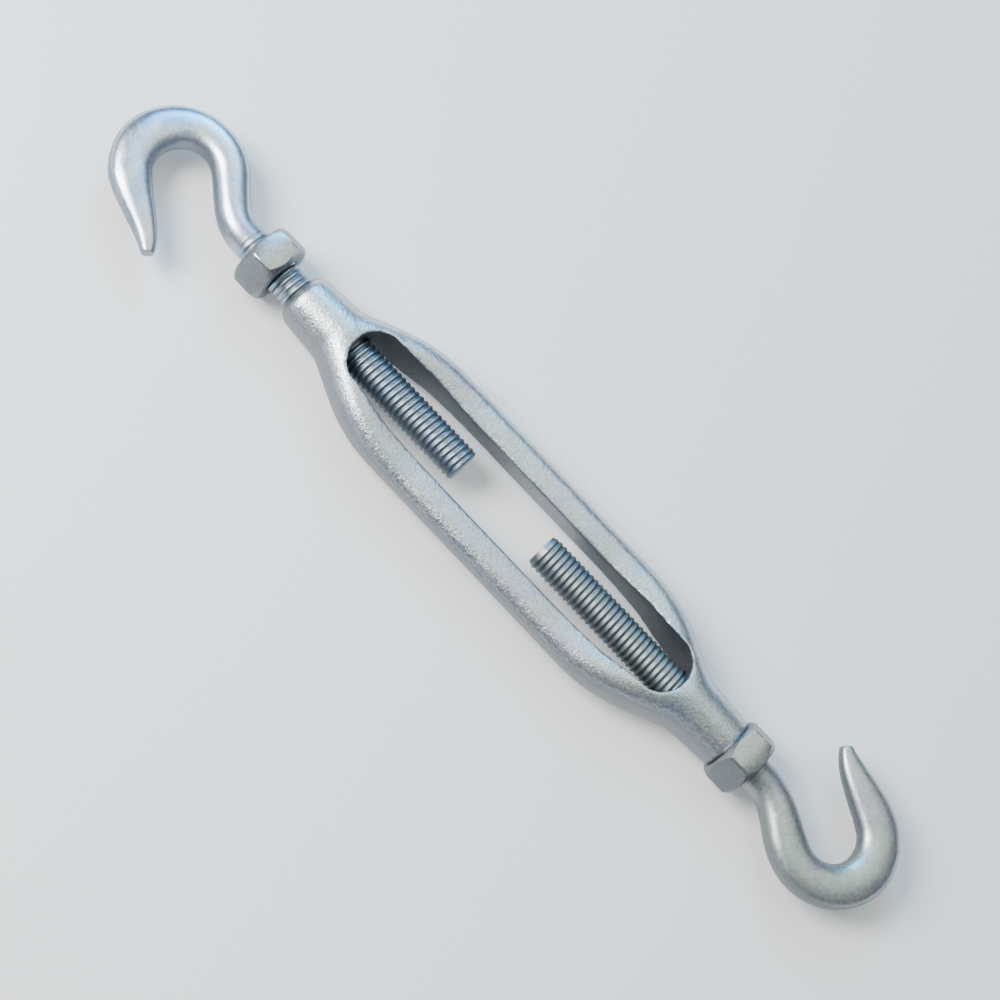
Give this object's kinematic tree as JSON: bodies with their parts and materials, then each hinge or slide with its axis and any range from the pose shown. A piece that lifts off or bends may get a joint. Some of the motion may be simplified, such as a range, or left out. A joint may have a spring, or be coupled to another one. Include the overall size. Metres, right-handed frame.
{
  "type": "rigging turnbuckle",
  "caption": "Hook-and-hook frame turnbuckle: an open forged frame with opposite threads draws two hooks together, each with a lock nut.",
  "frame": {"origin": "middle of the open frame, on the thread axis, as pictured", "axes": "+X along the thread axis towards the right-hand threaded hook; the frame and both hooks lie in the XY plane; +Z is normal to that plane and up when the turnbuckle lies flat"},
  "size_m": [0.3517, 0.0621, 0.0222],
  "materials": {
    "frame_zinc": "zinc plated over a forged surface, satin",
    "hook_zinc": "zinc plated over a smooth forging and cut thread, satin with a cool tint",
    "nut_zinc": "zinc plated over machined flats, satin"
  },
  "bodies": {
    "rh_hook_bolt": {"rh_hook_bolt": "hook_zinc"},
    "rh_lock_nut": {"rh_lock_nut": "nut_zinc"},
    "frame_body": {"frame_body": "frame_zinc"},
    "lh_hook_bolt": {"lh_hook_bolt": "hook_zinc"},
    "lh_lock_nut": {"lh_lock_nut": "nut_zinc"}
  },
  "joints": [
    {"name": "rh_thread_travel", "type": "slide", "parent": "rh_hook_bolt", "child": "rh_lock_nut", "axis": [-1, 0, 0], "range_m": [0, 0.0508]},
    {"name": "frame_turn", "type": "hinge", "parent": "rh_lock_nut", "child": "frame_body", "pos_m": [0, 0, 0], "axis": [-1, 0, 0], "range_deg": [0, 8640]},
    {"name": "lh_hook_travel", "type": "slide", "parent": "rh_hook_bolt", "child": "lh_hook_bolt", "axis": [-1, 0, 0], "range_m": [0, 0.1016]},
    {"name": "lh_nut_travel", "type": "slide", "parent": "lh_hook_bolt", "child": "lh_lock_nut", "axis": [1, 0, 0], "range_m": [-0.003, 0.0078]}
  ],
  "couplings": [
    {"joint": "rh_thread_travel", "follows": "frame_turn", "m_per_rad": 0.00033688},
    {"joint": "lh_hook_travel", "follows": "frame_turn", "m_per_rad": 0.00067377}
  ]
}
